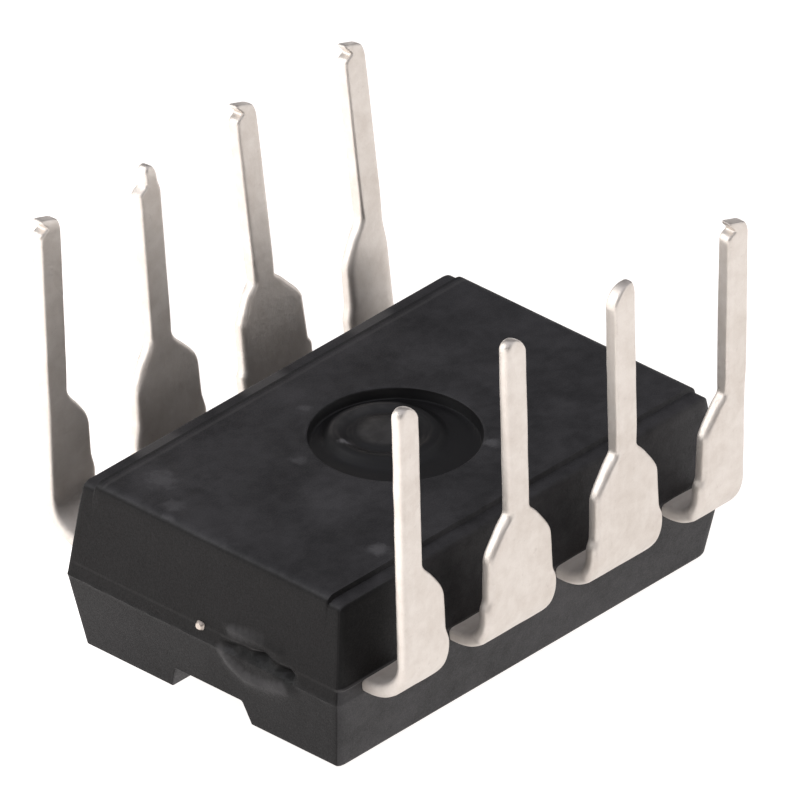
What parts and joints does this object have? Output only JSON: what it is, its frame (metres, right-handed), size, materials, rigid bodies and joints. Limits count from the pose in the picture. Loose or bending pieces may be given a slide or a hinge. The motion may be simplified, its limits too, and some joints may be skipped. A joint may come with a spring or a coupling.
{
  "type": "dip integrated circuit chip",
  "caption": "Dual in-line integrated circuit: black moulded body, bent tin-plated leads, lead frame, die and bond wires inside.",
  "frame": {"origin": "centre of the flat marked face, on which the chip lies", "axes": "+Z out of the marked face through the body, towards the pin tips; +X along the body, away from the index notch; +Y towards the row with pins 1 to 4"},
  "size_m": [0.0092, 0.0087, 0.0073],
  "materials": {
    "mould_compound": "black filled epoxy with a faintly mottled spark-eroded mould texture",
    "tinned_lead": "bright tin plate over stamped copper alloy, slightly wavy",
    "lead_frame": "satin silver-plated copper alloy",
    "die_glue": "silver-filled epoxy glue",
    "silicon": "polished dark blue-grey silicon",
    "bond_wire": "bright gold wire"
  },
  "bodies": {
    "root": {"body": "mould_compound", "lead_1": "tinned_lead", "lead_2": "tinned_lead", "lead_3": "tinned_lead", "lead_4": "tinned_lead", "lead_5": "tinned_lead", "lead_6": "tinned_lead", "lead_7": "tinned_lead", "lead_8": "tinned_lead", "die_pad": "lead_frame", "die_attach": "die_glue", "die": "silicon", "bond_wire_1": "bond_wire", "bond_wire_2": "bond_wire", "bond_wire_3": "bond_wire", "bond_wire_4": "bond_wire", "bond_wire_5": "bond_wire", "bond_wire_6": "bond_wire", "bond_wire_7": "bond_wire", "bond_wire_8": "bond_wire"}
  },
  "joints": []
}
